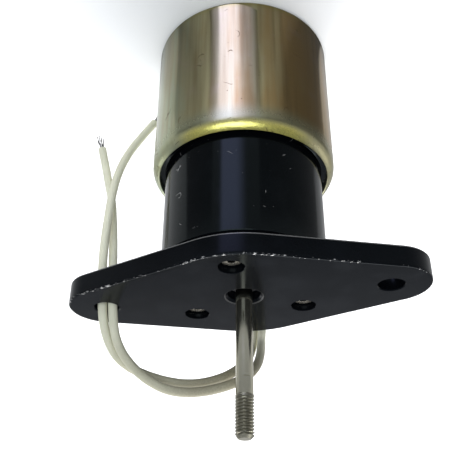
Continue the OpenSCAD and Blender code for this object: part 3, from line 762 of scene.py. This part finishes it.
class SOLENOID_OT_stage(bpy.types.Operator):
    """Set the camera, the pale floor and the soft studio light"""

    bl_idname = "solenoid.stage"
    bl_label = "Stage"

    # Camera in the part's frame: the photo shows the part with its shaft down, so it is rolled half a turn
    place = Vector((-37.838, -208.279, 203.633)) * MM
    forward = Vector((0.1792425, 0.8382638, -0.5149621))
    up = Vector((-0.0980948, -0.5056025, -0.8571718))
    lens = 56.0
    floor_size = 6.0
    # Lamps: name, place, target, width and depth in metres, radiance, spread in degrees and colour
    lamps = (
        ("key", (0.0, 0.45, 0.75), (0.0, 0.35, 0.0), 0.9, 0.6, 3.8, 110, (1.0, 1.0, 1.0)),
        ("front", (0.0, -0.50, 0.39), (0.0, 0.0, 0.05), 0.42, 0.30, 2.5, 120, (0.87, 0.94, 1.0)),
        ("side", (-0.5, 0.30, 0.22), (-0.1, 0.12, 0.0), 0.35, 0.25, 0.6, 150, (1.0, 1.0, 1.0)),
        ("side", (0.5, 0.30, 0.22), (0.1, 0.12, 0.0), 0.35, 0.25, 1.1, 150, (1.0, 1.0, 1.0)))
    # The grey card on the floor, a painted reflection that only the upright walls' gloss shows: half its
    # width, its height over the floor and the softness of its outlines
    card_half = 0.6
    card_height = 0.4 * MM
    card_edge = 1 * MM
    # Where its dark part begins: straight in front, or along a slant that starts at X = 0 and falls with X
    card_front = -26 * MM
    card_slant_start = 6 * MM
    card_slant = -0.46
    # A point on the slanting edge of its dark flank, that edge's slope, and the limit of the flank in X
    card_flank = (-34 * MM, -4 * MM)
    card_flank_slope = 0.9
    card_flank_end = (-15 * MM, -25 * MM)
    # Distances from the axis at which the dark part turns darker, and then pale
    card_ring = (98 * MM, 112 * MM)
    card_far = (190 * MM, 240 * MM)
    # Where its pale part turns paler, in X
    card_pale = (-40 * MM, 40 * MM)
    # The low window in front of the can: where its sides would meet, how far it reaches from there, and
    # half its width as a share of that distance
    window_apex = Vector((-2.7, -18.0, 1.0)) * MM
    window_reach = (15.2 * MM, 215 * MM)
    window_slope = 0.65
    window_strength = 4.1
    # The window is bright in its core and dim in a skirt. Their soft sides are shares of the distance too
    core_share = 0.76
    core_sides = ((0.42, 0.32), (-0.30, 0.02))
    skirt_sides = ((0.66, 0.40), (-0.66, -0.30))
    # Where the skirt ends in Y: what lies farther out is mirrored by the neck and not by the can
    skirt_end = (-125 * MM, -112 * MM)

    def execute(self, context):
        scene = context.scene
        tone = scene.solenoid_finish
        scene.view_settings.view_transform = "Standard"
        self.add_camera(scene)
        self.add_floor(tone)
        self.add_world(scene, tone)
        for lamp in self.lamps:
            self.add_lamp(*lamp)
        self.add_card(tone)
        self.add_window(tone)
        return {"FINISHED"}

    def add_camera(self, scene):
        camera = bpy.data.objects.new("camera", bpy.data.cameras.new("camera"))
        scene.collection.objects.link(camera)
        right = self.forward.cross(self.up)
        turn = Matrix((right, self.up, -self.forward)).transposed()
        camera.matrix_world = Matrix.Translation(self.place) @ turn.to_4x4()
        camera.data.sensor_width = 36.0
        camera.data.lens = self.lens
        camera.data.clip_start = 0.005
        scene.camera = camera

    def add_floor(self, tone):
        floor = new_primitive("floor", bpy.ops.mesh.primitive_plane_add, size=self.floor_size)
        finish = Finish("floor")
        grain = finish.noise(40 * MM, 2)
        base = grain.mix(rgba(tone.floor), rgba(tone.floor, 1.02))
        floor.data.materials.append(finish.surface(base, 0.8, Specular_IOR_Level=0.1))

    def add_world(self, scene, tone):
        world = bpy.data.worlds.new("studio")
        world.use_nodes = True
        scene.world = world
        nodes = Nodes(world.node_tree)
        sky = nodes.node("ShaderNodeTexCoord", output="Generated")
        height = nodes.node("ShaderNodeSeparateXYZ", None, {"Vector": sky}, output="Z")
        shade = height.rise(0.0, 0.6).mix(rgba(tone.haze), rgba(tone.sky))
        nodes.feed(world.node_tree.nodes["Background"].inputs["Color"], shade)

    def add_lamp(self, name, place, target, width, depth, radiance, spread, shade):
        light = bpy.data.lights.new(name, "AREA")
        light.color = shade
        light.shape = "RECTANGLE"
        light.size = width
        light.size_y = depth
        light.spread = math.radians(spread)
        light.energy = math.pi * width * depth * radiance
        lamp = bpy.data.objects.new(name, light)
        bpy.context.scene.collection.objects.link(lamp)
        aim = Vector(target) - Vector(place)
        lamp.matrix_world = Matrix.Translation(place) @ aim.to_track_quat("-Z", "Y").to_matrix().to_4x4()
        lamp.visible_camera = False

    def add_card(self, tone):
        """A card on the floor that only the part's gloss shows, painting darker reflections: pale, but grey
        in front and on one flank
        """
        card = new_primitive(
            "card", bpy.ops.mesh.primitive_plane_add, size=2 * self.card_half,
            location=(0, 0, self.card_height))
        apply_place(card)
        finish = Finish("card")
        x, y = finish.axis("X"), finish.axis("Y")
        edge = self.card_edge
        slant = self.card_slant_start + self.card_slant * x
        front = (y - slant.maths("MINIMUM", self.card_front)).rise(edge, -edge)
        flank_x, flank_y = self.card_flank
        past_flank = y - flank_y + self.card_flank_slope * (x - flank_x)
        flank = past_flank.rise(edge, -edge) * x.rise(*self.card_flank_end)
        away = (x * x + y * y) ** 0.5
        # The dark part's shades go by the bearing from the axis, and then by the distance
        dark = (0.5 + 0.5 * x / away).ramp(
            (0.0, rgba(tone.card, 0.25)), (0.09, rgba(tone.card, 0.5)), (0.17, rgba(tone.card, 1.2)),
            (0.33, rgba(tone.card, 2.0)), (0.65, rgba(tone.card, 2.1)), (0.8, rgba(tone.card)))
        dark = away.rise(*self.card_ring).mix(dark, rgba(tone.card, 0.4))
        dark = away.rise(*self.card_far).mix(dark, rgba(tone.card, 1.5))
        pale = x.rise(*self.card_pale).mix(rgba(tone.card, 1.1), rgba(tone.card, 1.8))
        shade = front.maths("MAXIMUM", flank).mix(pale, dark)
        card.data.materials.append(finish.surface(shade, 0.8, Specular_IOR_Level=0.1))
        self.only_in_gloss(card)

    def only_in_gloss(self, piece):
        """Keeps a stage piece out of sight and its light off the floor, so that only gloss shows it"""
        piece.visible_camera = False
        piece.visible_diffuse = False
        piece.visible_shadow = False

    def add_window(self, tone):
        """A low wedge of soft light in front of the can, which its wall mirrors as one upright strip"""
        near, far = self.window_reach
        window = new_primitive("window", bpy.ops.mesh.primitive_plane_add, size=1)
        for point in window.data.vertices:
            reach = near if point.co.y > 0 else far
            point.co = self.window_apex + Vector((2 * point.co.x * self.window_slope * reach, -reach, 0))
        finish = Finish("window")
        across = (finish.axis("X") - self.window_apex.x) / (self.window_apex.y - finish.axis("Y"))
        core, skirt = (
            across.rise(*right) * across.rise(*left) for right, left in (self.core_sides, self.skirt_sides))
        skirt = skirt * finish.axis("Y").rise(*self.skirt_end)
        glow = self.core_share * core + (1 - self.core_share) * skirt
        shade = glow.mix((0, 0, 0, 1), rgba(tone.window))
        finish.feed(finish.shader.inputs["Emission Color"], shade)
        material = finish.surface(
            rgba(tone.card), 0.8, Specular_IOR_Level=0.1, Emission_Strength=self.window_strength)
        window.data.materials.append(material)
        self.only_in_gloss(window)


class SOLENOID_OT_leads(bpy.types.Operator):
    """Lay the two leads on their routes and fray their bare ends"""

    bl_idname = "solenoid.leads"
    bl_label = "Leads"

    # Each lead's node, its route and the seed of its frayed end
    leads = (("lead_a", LEAD_A_ROUTE, 3), ("lead_b", LEAD_B_ROUTE, 8))
    # Points along each strand
    points = 6
    # Distance of the strands from the middle of their bundle, and the middle strand's share of it
    bundle = 0.5 * MM
    middle_share = 0.25
    # Spread at the far end, turn along the way in radians, and depth of the roots in the insulation
    fray = 0.8 * MM
    twist = 0.9
    root = 1.5 * MM
    # Ranges of the random shares of length and of spread
    reach_range = (0.6, 1.0)
    flare_range = (0.6, 1.5)

    def execute(self, context):
        sizes = context.scene.solenoid_leads
        tone = context.scene.solenoid_finish
        insulation = lead_finish(tone)
        bare = strand_finish(tone)
        for name, points, seed in self.leads:
            route = [Vector(point) * MM for point in points]
            lead = wire_curve(f"{name}_insulation", [route], sizes.diameter / 2)
            settle(lead, insulation, "housing", "lead_insulation", name)
            strands = self.add_strands(sizes, f"{name}_frayed", route, seed)
            settle(strands, bare, "housing", "tinned_copper", f"{name}_strands")
        return {"FINISHED"}

    def add_strands(self, sizes, name, route, seed):
        """Strands that leave a lead's end in a twisted bundle and spread a little"""
        chance = random.Random(seed)
        along = (route[-1] - route[-2]).normalized()
        side = along.orthogonal().normalized()
        other = along.cross(side)
        lines = []
        for strand in range(sizes.strands):
            inner = self.middle_share if strand == 0 else 1.0
            reach = sizes.strand_length * chance.uniform(*self.reach_range)
            flare = chance.uniform(*self.flare_range)
            start = math.tau * strand / (sizes.strands - 1)
            line = []
            for step in range(self.points):
                share = step / (self.points - 1)
                turn = start + self.twist * share
                spread = inner * (self.bundle + self.fray * flare * share * share)
                line.append(
                    route[-1] + along * (reach * share - self.root * (1 - share))
                    + spread * (math.cos(turn) * side + math.sin(turn) * other))
            lines.append(line)
        return wire_mesh(name, lines, sizes.strand_radius, sides=2, steps=3)


class SOLENOID_OT_can(bpy.types.Operator):
    """Turn the plated can with its rim rolled in over the body"""

    bl_idname = "solenoid.can"
    bl_label = "Can"

    # Angle by which the outside of the bend stops short of the lip
    lip_turn = 0.05

    def execute(self, context):
        sizes = context.scene.solenoid_can
        bore = sizes.radius - sizes.wall
        inside = sizes.rim_radius - sizes.wall
        bend, over = rim_bend(sizes)
        lip = bend[0] + over
        outer = soften([(0, 0, 0), (sizes.radius, 0, sizes.end_radius), (sizes.radius, bend[1], 0)])
        outer += arc(bend, sizes.rim_radius, 0, math.acos(over / sizes.rim_radius) - self.lip_turn)[1:]
        inner = arc(bend, inside, math.acos(over / inside), 0)
        inner += soften([
            (bore, bend[1], 0), (bore, sizes.end_wall, sizes.inner_fillet), (0, sizes.end_wall, 0)])[1:]
        profile = [*outer, (lip, sizes.height - sizes.lip_break), *inner]
        can = turned("can_shell", profile, steps=192)
        smooth(can)
        settle(can, zinc_finish(context.scene.solenoid_finish), "housing", "zinc_yellow", "case_can")
        return {"FINISHED"}


class SOLENOID_OT_body(bpy.types.Operator):
    """Turn the black body, cut its lead exit and drill its screw holes"""

    bl_idname = "solenoid.body"
    bl_label = "Body"

    # How far the cutters of the lead exit reach from the axis
    drill_reach = 40 * MM

    def execute(self, context):
        sizes = context.scene.solenoid_body
        can = context.scene.solenoid_can
        flange = context.scene.solenoid_flange
        bend, over = rim_bend(can)
        shoulder = bend[1] + math.sqrt((can.rim_radius - can.wall) ** 2 - over ** 2)
        top = BODY_HIGH.z
        seat = BUSH_HIGH.x + FIT_GAP
        profile = soften([
            (sizes.chamber_radius, BODY_LOW.z, 0),
            (BODY_HIGH.x, BODY_LOW.z, sizes.edge),
            (BODY_HIGH.x, bend[1], 0),
            (bend[0] + over - sizes.rim_gap, shoulder, 0),
            (sizes.neck_radius, shoulder, sizes.edge),
            (sizes.neck_radius, top - sizes.chamfer, sizes.edge),
            (sizes.neck_radius - sizes.chamfer, top, 0),
            (seat, top, 0),
            (seat, BUSH_LOW.z, 0),
            (sizes.passage_radius, BUSH_LOW.z, 0),
            (sizes.passage_radius, BUMPER_HIGH.z, 0),
            (sizes.chamber_radius, BUMPER_HIGH.z, 0)])
        body = turned("body_neck", [*profile, profile[0]], steps=192)
        exit_z = (GROMMET_LOW.z + GROMMET_HIGH.z) / 2
        cut(
            body,
            self.drill(sizes.lead_hole, exit_z, 0),
            self.drill(sizes.spot_radius, exit_z, sizes.spot_depth))
        depth = 2 * (top - SCREW_LOW.z + flange.screw_radius)
        for x, y in screw_places(flange):
            cut(body, new_rod("tap", 48, flange.screw_radius + FIT_GAP, depth, location=(x, y, top)))
        smooth(body)
        settle(body, anodise_finish(context.scene.solenoid_finish), "housing", "black_anodise", "neck_body")
        return {"FINISHED"}

    def drill(self, radius, height, near):
        """A round cutter along +Y that starts at a distance from the axis"""
        far = self.drill_reach
        return new_rod(
            "drill", 96, radius, far - near, location=(0, (near + far) / 2, height),
            rotation=(math.pi / 2, 0, 0))


class SOLENOID_OT_flange(bpy.types.Operator):
    """Hull the diamond flange, round and mark its edges and cut its holes"""

    bl_idname = "solenoid.flange"
    bl_label = "Flange"

    # How far the cutters of the holes reach past the faces
    over = 1 * MM
    # Mark of the lower edge, which is chipped less than the upper one and also carries the painted
    # highlight along it
    lower_mark = 0.6

    def execute(self, context):
        sizes = context.scene.solenoid_flange
        low, top = FLANGE_LOW.z, FLANGE_HIGH.z
        hole_x = FLANGE_HIGH.x - sizes.end_radius
        flange = self.blank(sizes, low, top, hole_x)
        self.mark_edges(flange, sizes, low, top)
        through = low - self.over
        mounting = sizes.hole_radius, through
        holes = [self.bore(x, 0, sizes.hole_chamfer, mounting) for x in (-hole_x, hole_x)]
        holes.append(self.bore(0, 0, sizes.shaft_chamfer, (sizes.shaft_hole, through)))
        drill = sizes.screw_radius + FIT_GAP, through
        counterbore = sizes.counterbore, SCREW_HIGH.z - sizes.head_height
        for x, y in screw_places(sizes):
            holes.append(self.bore(x, y, sizes.counterbore_chamfer, drill, counterbore))
        cut(flange, join(*holes))
        self.clear_holes(flange, sizes, hole_x)
        smooth(flange)
        even_normals(flange)
        finish = flange_finish(context.scene.solenoid_finish, sizes.shaft_hole + sizes.shaft_chamfer)
        settle(flange, finish, "housing", "black_flange", "mounting_flange")
        return {"FINISHED"}

    def blank(self, sizes, low, top, hole_x):
        """The convex hull of the middle and the two ends, with its edges rounded"""
        rounds = ((0, sizes.middle_radius), (-hole_x, sizes.end_radius), (hole_x, sizes.end_radius))
        flange = join(*(
            new_rod("flange_plate", 128, radius, top - low, location=(x, 0, (low + top) / 2))
            for x, radius in rounds))
        apply_place(flange)
        bpy.ops.object.mode_set(mode="EDIT")
        bpy.ops.mesh.select_all(action="SELECT")
        bpy.ops.mesh.convex_hull()
        select_flats(flange)
        bpy.ops.mesh.dissolve_faces()
        select_flats(flange)
        bpy.ops.mesh.region_to_loop()
        bpy.ops.mesh.bevel(offset=sizes.edge, segments=3, profile=0.5, affect="EDGES")
        bpy.ops.object.mode_set(mode="OBJECT")
        return flange

    def mark_edges(self, flange, sizes, low, top):
        """Marks the rounded edges with an attribute that fades out over the worn band"""
        edge = flange.data.attributes.new("edge", "FLOAT", "POINT")
        middle = (low + top) / 2
        marks = [1.0 if point.co.z > middle else self.lower_mark for point in flange.data.vertices]
        edge.data.foreach_set("value", marks)
        select_flats(flange)
        bpy.ops.mesh.inset(thickness=sizes.wear, use_even_offset=True)
        self.fade_selected(flange)
        for height in (low + sizes.edge + sizes.wear, top - sizes.edge - sizes.wear):
            bpy.ops.object.mode_set(mode="EDIT")
            bpy.context.tool_settings.mesh_select_mode = (True, False, False)
            bpy.ops.mesh.select_all(action="SELECT")
            bpy.ops.mesh.bisect(plane_co=(0, 0, height), plane_no=(0, 0, 1))
            self.fade_selected(flange)

    def clear_holes(self, flange, sizes, hole_x):
        """Sets the mark to 0 at the points round every hole"""
        reach = sizes.shaft_hole + 2 * sizes.shaft_chamfer
        holes = [Vector(place) for place in ((0, 0), (-hole_x, 0), (hole_x, 0), *screw_places(sizes))]
        edge = flange.data.attributes["edge"]
        for point in flange.data.vertices:
            if any((point.co.xy - hole).length < reach for hole in holes):
                edge.data[point.index].value = 0.0

    def fade_selected(self, flange):
        """Sets the mark to 0 at the selected points"""
        bpy.ops.object.mode_set(mode="OBJECT")
        edge = flange.data.attributes["edge"]
        for point in flange.data.vertices:
            if point.select:
                edge.data[point.index].value = 0.0

    def bore(self, x, y, chamfer, *steps):
        """A cutter for a round hole with a chamfered mouth, each step of it a radius and a foot"""
        top = FLANGE_HIGH.z
        profile = [(0, steps[0][1])]
        ceilings = [foot for radius, foot in steps[1:]] + [top - chamfer]
        for (radius, foot), ceiling in zip(steps, ceilings):
            profile += [(radius, foot), (radius, ceiling)]
        mouth = steps[-1][0] + chamfer
        profile += [(mouth, top), (mouth + self.over, top + self.over), (0, top + self.over)]
        cutter = turned("bore", profile, steps=96)
        cutter.data.attributes.new("edge", "FLOAT", "POINT")
        cutter.location = (x, y, 0)
        apply_place(cutter)
        return cutter


class SOLENOID_OT_screws(bpy.types.Operator):
    """Turn one socket screw and copy it round the shaft"""

    bl_idname = "solenoid.screws"
    bl_label = "Flange screws"

    # Fillets at the tip, under the head and round its top, and the turn from one socket to the next
    tip_fillet = 0.4 * MM
    seat_fillet = 0.15 * MM
    head_fillet = 0.45 * MM
    socket_turn = 0.7

    def execute(self, context):
        sizes = context.scene.solenoid_flange
        top = SCREW_HIGH.z
        seat = top - sizes.head_height
        screw = turned("screw_heads", soften([
            (0, SCREW_LOW.z, 0),
            (sizes.screw_radius, SCREW_LOW.z, self.tip_fillet),
            (sizes.screw_radius, seat, 0),
            (sizes.head_radius, seat, self.seat_fillet),
            (sizes.head_radius, top, self.head_fillet),
            (0, top, 0)]), steps=64)
        cut(screw, new_rod(
            "key", 6, sizes.socket / math.sqrt(3), 2 * sizes.socket_depth, location=(0, 0, top)))
        smooth(screw)
        copies = []
        for index, (x, y) in enumerate(screw_places(sizes)):
            made = copy_of(screw, f"screw_{index}")
            made.location = (x, y, 0)
            made.rotation_euler = (0, 0, self.socket_turn * index)
            apply_place(made)
            copies.append(made)
        bpy.data.objects.remove(screw)
        screws = join(*copies)
        screws.name = "screw_heads"
        finish = screw_finish(context.scene.solenoid_finish)
        settle(screws, finish, "housing", "screw_steel", "flange_screws")
        return {"FINISHED"}


class SOLENOID_OT_shaft(bpy.types.Operator):
    """Turn the shaft, cut its spanner flats and its thread"""

    bl_idname = "solenoid.shaft"
    bl_label = "Shaft"

    # The thread, for each turn of it: rings of points, share of the crest and of the flanks
    rings_per_pitch = 16
    crest = 0.1
    flanks = 0.75
    # Turns over which the thread runs out at its start
    run_out = 1.5
    # Where the chamfer at the tip has rings of points
    chamfer_shares = (0.15, 0.3, 0.45, 0.6, 0.75, 0.9, 1.0)

    def execute(self, context):
        sizes = context.scene.solenoid_shaft
        tip = SHAFT_HIGH.z
        start = tip - sizes.thread_length
        lead_in = sizes.thread_radius - sizes.radius
        low, high = start + lead_in, tip - sizes.tip_chamfer
        count = round(self.rings_per_pitch * (high - low) / sizes.pitch)
        rings = [(sizes.thread_radius, low + (high - low) * index / count) for index in range(count + 1)]
        chamfer = [
            (sizes.thread_radius - sizes.tip_chamfer * share, high + sizes.tip_chamfer * share)
            for share in self.chamfer_shares]
        profile = [
            (0, SHAFT_LOW.z), (sizes.radius - sizes.edge, SHAFT_LOW.z),
            (sizes.radius, SHAFT_LOW.z + sizes.edge), (sizes.radius, start), *rings, *chamfer, (0, tip)]
        shaft = turned("shaft_rod", profile, steps=72)
        self.cut_flats(shaft, sizes, start)
        self.cut_thread(shaft, sizes, start)
        smooth(shaft, 20)
        finish = shaft_finish(context.scene.solenoid_finish, start)
        settle(shaft, finish, "armature", "polished_steel", "shaft")
        return {"FINISHED"}

    def cut_flats(self, shaft, sizes, start):
        """Two spanner flats beside the thread"""
        middle = start - sizes.flat_gap - sizes.flat_length / 2
        block = 4 * sizes.radius
        for side in (-1, 1):
            out = side * (sizes.flat_size + block) / 2
            cutter = new_primitive(
                "flat", bpy.ops.mesh.primitive_cube_add, size=block,
                location=(-out * math.sin(sizes.flat_turn), out * math.cos(sizes.flat_turn), middle),
                rotation=(0, 0, sizes.flat_turn))
            cutter.scale.z = sizes.flat_length / block
            apply_place(cutter)
            cut(shaft, cutter)

    def cut_thread(self, shaft, sizes, start):
        """Moves the points of the threaded end in to a V thread that runs out at its start"""
        for point in shaft.data.vertices:
            if point.co.z < start:
                continue
            radius = point.co.xy.length
            turn = math.atan2(point.co.y, point.co.x) / math.tau
            phase = ((point.co.z - start) / sizes.pitch - turn) % 1.0
            groove = min(1.0, max(0.0, (1 - abs(2 * phase - 1) - self.crest) / self.flanks))
            run_out = min(1.0, (point.co.z - start) / (self.run_out * sizes.pitch))
            limit = sizes.thread_radius - sizes.thread_depth * groove * run_out
            if radius > limit:
                point.co.xy *= limit / radius


class SOLENOID_OT_rubber(bpy.types.Operator):
    """Mould the lead grommet and the shaft seal"""

    bl_idname = "solenoid.rubber"
    bl_label = "Grommet and seal"

    def execute(self, context):
        rubber = rubber_finish(context.scene.solenoid_finish)
        sizes = context.scene.solenoid_rubber
        grommet = self.add_grommet(sizes, context.scene.solenoid_leads)
        settle(grommet, rubber, "housing", "black_rubber", "lead_grommet")
        seal = self.add_seal(sizes, context.scene.solenoid_shaft.radius + sizes.seal_gap)
        settle(seal, rubber, "housing", "black_rubber", "shaft_seal")
        return {"FINISHED"}

    def add_grommet(self, sizes, leads):
        """A grommet on the body's flat, with a tapered nose and a hole for each lead"""
        collar = GROMMET_HIGH.x
        nose = GROMMET_HIGH.y
        flat = nose - sizes.nose_height
        shelf = flat + sizes.collar_height
        grommet = turned("grommet", soften([
            (0, GROMMET_LOW.y, 0),
            (sizes.plug_radius, GROMMET_LOW.y, 0.3 * MM),
            (sizes.plug_radius, flat, 0),
            (collar, flat, 0.3 * MM),
            (collar, shelf, 0.6 * MM),
            (sizes.nose_root, shelf, 0.4 * MM),
            (sizes.nose_tip, nose, 0.5 * MM),
            (0, nose, 0)]), steps=96)
        for side in (-1, 1):
            cut(grommet, new_rod(
                "lead_hole", 48, leads.diameter / 2 + FIT_GAP, 4 * nose,
                location=(side * leads.pitch / 2, 0, 0)))
        grommet.rotation_euler = (-math.pi / 2, 0, 0)
        grommet.location = (0, 0, (GROMMET_LOW.z + GROMMET_HIGH.z) / 2)
        apply_place(grommet)
        smooth(grommet)
        return grommet

    def add_seal(self, sizes, bore):
        """A ring with a groove in its face and a lip round the shaft"""
        outside, top = SEAL_HIGH.x, SEAL_HIGH.z
        rim = outside - sizes.seal_rim
        corners = soften([
            (bore, SEAL_LOW.z, 0),
            (outside, SEAL_LOW.z, 0.2 * MM),
            (outside, top, 0.3 * MM),
            (rim, top, 0.2 * MM),
            (rim - sizes.groove_slope, top - sizes.groove_depth, 0.2 * MM),
            (bore, top - sizes.lip_drop, 0.1 * MM)])
        seal = turned("seal_lip", [*corners, corners[0]], steps=96)
        smooth(seal)
        return seal


class SOLENOID_OT_spring(bpy.types.Operator):
    """Wind the return spring at one length; the real spring shortens as the plunger is drawn in"""

    bl_idname = "solenoid.spring"
    bl_label = "Return spring"

    steps_per_turn = 16
    # Pitch of the closed turn at each end, in radii of the wire
    end_pitch = 2.1

    def execute(self, context):
        sizes = context.scene.solenoid_leads
        wire = sizes.spring_wire
        radius = SPRING_HIGH.x - wire
        low, high = SPRING_LOW.z + wire, SPRING_HIGH.z - wire
        closed = self.end_pitch * wire
        pitch = (high - low - 2 * closed) / (sizes.spring_turns - 2)
        line = []
        for step in range(sizes.spring_turns * self.steps_per_turn + 1):
            turns = step / self.steps_per_turn
            rise = closed * min(1, turns) + pitch * max(0, min(turns, sizes.spring_turns - 1) - 1)
            rise += closed * max(0, turns - sizes.spring_turns + 1)
            angle = math.tau * turns
            line.append((radius * math.cos(angle), radius * math.sin(angle), low + rise))
        spring = wire_mesh("spring_coil", [line], wire, sides=5, steps=1)
        finish = spring_finish(context.scene.solenoid_finish)
        settle(spring, finish, "housing", "spring_steel", "return_spring")
        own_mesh(spring)
        return {"FINISHED"}


class SOLENOID_OT_inner(bpy.types.Operator):
    """Finish the parts inside the can and the body"""

    bl_idname = "solenoid.inner"
    bl_label = "Inner parts"

    def execute(self, context):
        tone = context.scene.solenoid_finish
        made = bpy.data.materials
        iron = hidden_metal("magnet_iron", tone.iron, 0.4 * MM)
        brass = hidden_metal("brass", tone.brass, 0.3 * MM)
        winding = winding_finish(tone)
        finishes = {
            "rear_pole": iron, "front_pole": iron, "plunger": iron,
            "guide_tube": brass, "residual_shim": brass,
            "front_bush": hidden_metal("bronze", tone.bronze, 0.6 * MM),
            "bobbin": hidden_plastic("nylon", tone.nylon, 0.45),
            "coil": winding, "coil_ends": winding,
            "coil_tape": hidden_plastic("tape", tone.tape, 0.25),
            "lead_splices": hidden_plastic("splice_sleeve", tone.sleeve, 0.4),
            "plunger_pin": made["spring_steel"],
            "stop_bumper": made["black_rubber"],
            "lead_tails": made["lead_insulation"]}
        for node, material in finishes.items():
            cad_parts[node].material_slots[0].material = material
        return {"FINISHED"}


OPERATORS = (
    SOLENOID_OT_stage, SOLENOID_OT_leads, SOLENOID_OT_can, SOLENOID_OT_body, SOLENOID_OT_flange,
    SOLENOID_OT_screws, SOLENOID_OT_shaft, SOLENOID_OT_rubber, SOLENOID_OT_spring, SOLENOID_OT_inner)

GROUPS = {
    "solenoid_can": SOLENOID_PG_can,
    "solenoid_body": SOLENOID_PG_body,
    "solenoid_flange": SOLENOID_PG_flange,
    "solenoid_shaft": SOLENOID_PG_shaft,
    "solenoid_leads": SOLENOID_PG_leads,
    "solenoid_rubber": SOLENOID_PG_rubber,
    "solenoid_finish": SOLENOID_PG_finish}


class SOLENOID_PT_sidebar(bpy.types.Panel):
    """Lists the pieces and their sizes"""

    bl_idname = "SOLENOID_PT_sidebar"
    bl_label = "Solenoid actuator"
    bl_space_type = "VIEW_3D"
    bl_region_type = "UI"
    bl_category = "Solenoid"

    def draw(self, context):
        for operator in OPERATORS:
            self.layout.operator(operator.bl_idname)
        for name, group in GROUPS.items():
            box = self.layout.box()
            box.label(text=group.__doc__)
            for key in group.__annotations__:
                box.prop(getattr(context.scene, name), key)


def register():
    for name, group in GROUPS.items():
        bpy.utils.register_class(group)
        setattr(bpy.types.Scene, name, bpy.props.PointerProperty(type=group))
    for cls in (*OPERATORS, SOLENOID_PT_sidebar):
        bpy.utils.register_class(cls)


def unregister():
    for cls in reversed((*OPERATORS, SOLENOID_PT_sidebar)):
        bpy.utils.unregister_class(cls)
    for name, group in GROUPS.items():
        delattr(bpy.types.Scene, name)
        bpy.utils.unregister_class(group)


def main():
    """Registers the add-on and makes every piece."""
    register()
    bpy.ops.solenoid.stage()
    bpy.ops.solenoid.leads()
    bpy.ops.solenoid.can()
    bpy.ops.solenoid.body()
    bpy.ops.solenoid.flange()
    bpy.ops.solenoid.screws()
    bpy.ops.solenoid.shaft()
    bpy.ops.solenoid.rubber()
    bpy.ops.solenoid.spring()
    bpy.ops.solenoid.inner()


if __name__ == "__main__":
    main()
